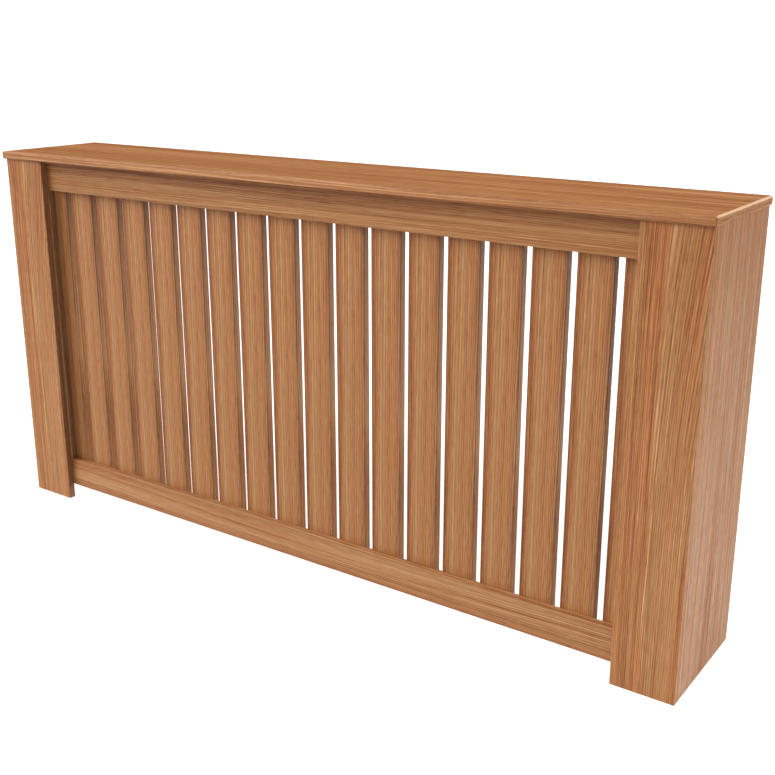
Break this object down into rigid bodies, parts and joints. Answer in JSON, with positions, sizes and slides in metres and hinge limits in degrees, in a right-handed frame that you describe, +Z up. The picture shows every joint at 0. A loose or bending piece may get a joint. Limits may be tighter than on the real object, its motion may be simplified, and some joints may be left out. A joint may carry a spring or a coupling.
{
  "type": "radiator cover cabinet",
  "caption": "Low wide radiator cover with a slatted front, two corner posts, plain side panels, an overhanging shelf and an open back.",
  "frame": {"origin": "on the floor, under the middle of the shelf", "axes": "+Z up; +X along the cover to the right as seen from the front; the slatted front faces -Y and the open back +Y"},
  "size_m": [1.6, 0.264, 0.8],
  "materials": {
    "upright_board": "satin laminate with fine straight grain",
    "lengthwise_board": "satin laminate with fine straight grain",
    "slat_board": "satin laminate with fine straight grain",
    "beech_dowel": "bare fluted beech",
    "cast_zinc": "dull cast zinc",
    "plated_steel": "bright zinc plate"
  },
  "bodies": {
    "cabinet": {"left_side_panel": "upright_board", "right_side_panel": "upright_board", "left_front_post": "upright_board", "right_front_post": "upright_board", "left_frame_stile": "upright_board", "right_frame_stile": "upright_board", "top_shelf": "lengthwise_board", "top_rail": "lengthwise_board", "bottom_rail": "lengthwise_board", "rear_stretcher": "lengthwise_board", "slat_01": "slat_board", "slat_02": "slat_board", "slat_03": "slat_board", "slat_04": "slat_board", "slat_05": "slat_board", "slat_06": "slat_board", "slat_07": "slat_board", "slat_08": "slat_board", "slat_09": "slat_board", "slat_10": "slat_board", "slat_11": "slat_board", "slat_12": "slat_board", "slat_13": "slat_board", "slat_14": "slat_board", "slat_15": "slat_board", "slat_16": "slat_board", "slat_17": "slat_board", "slat_18": "slat_board", "shelf_bolt_left_front": "plated_steel", "shelf_bolt_left_rear": "plated_steel", "shelf_bolt_right_front": "plated_steel", "shelf_bolt_right_rear": "plated_steel", "frame_bracket_left_top": "plated_steel", "frame_bracket_left_bottom": "plated_steel", "stretcher_bracket_left": "plated_steel", "wall_bracket_left": "plated_steel", "frame_bracket_right_top": "plated_steel", "frame_bracket_right_bottom": "plated_steel", "stretcher_bracket_right": "plated_steel", "wall_bracket_right": "plated_steel", "shelf_dowel_left_front": "beech_dowel", "shelf_dowel_left_rear": "beech_dowel", "shelf_dowel_right_front": "beech_dowel", "shelf_dowel_right_rear": "beech_dowel", "rail_dowel_1": "beech_dowel", "rail_dowel_2": "beech_dowel", "rail_dowel_3": "beech_dowel", "stretcher_dowel_1": "beech_dowel", "stretcher_dowel_2": "beech_dowel", "stretcher_dowel_3": "beech_dowel"},
    "cam_left_front": {"shelf_cam_left_front": "cast_zinc"},
    "cam_left_rear": {"shelf_cam_left_rear": "cast_zinc"},
    "cam_right_front": {"shelf_cam_right_front": "cast_zinc"},
    "cam_right_rear": {"shelf_cam_right_rear": "cast_zinc"}
  },
  "joints": [
    {"name": "cam_left_front_turn", "type": "hinge", "parent": "cabinet", "child": "cam_left_front", "pos_m": [-0.78, -0.044, 0.76], "axis": [1, 0, 0], "range_deg": [0, 180]},
    {"name": "cam_left_rear_turn", "type": "hinge", "parent": "cabinet", "child": "cam_left_rear", "pos_m": [-0.78, 0.068, 0.76], "axis": [1, 0, 0], "range_deg": [0, 180]},
    {"name": "cam_right_front_turn", "type": "hinge", "parent": "cabinet", "child": "cam_right_front", "pos_m": [0.78, -0.044, 0.76], "axis": [-1, 0, 0], "range_deg": [0, 180]},
    {"name": "cam_right_rear_turn", "type": "hinge", "parent": "cabinet", "child": "cam_right_rear", "pos_m": [0.78, 0.068, 0.76], "axis": [-1, 0, 0], "range_deg": [0, 180]}
  ]
}
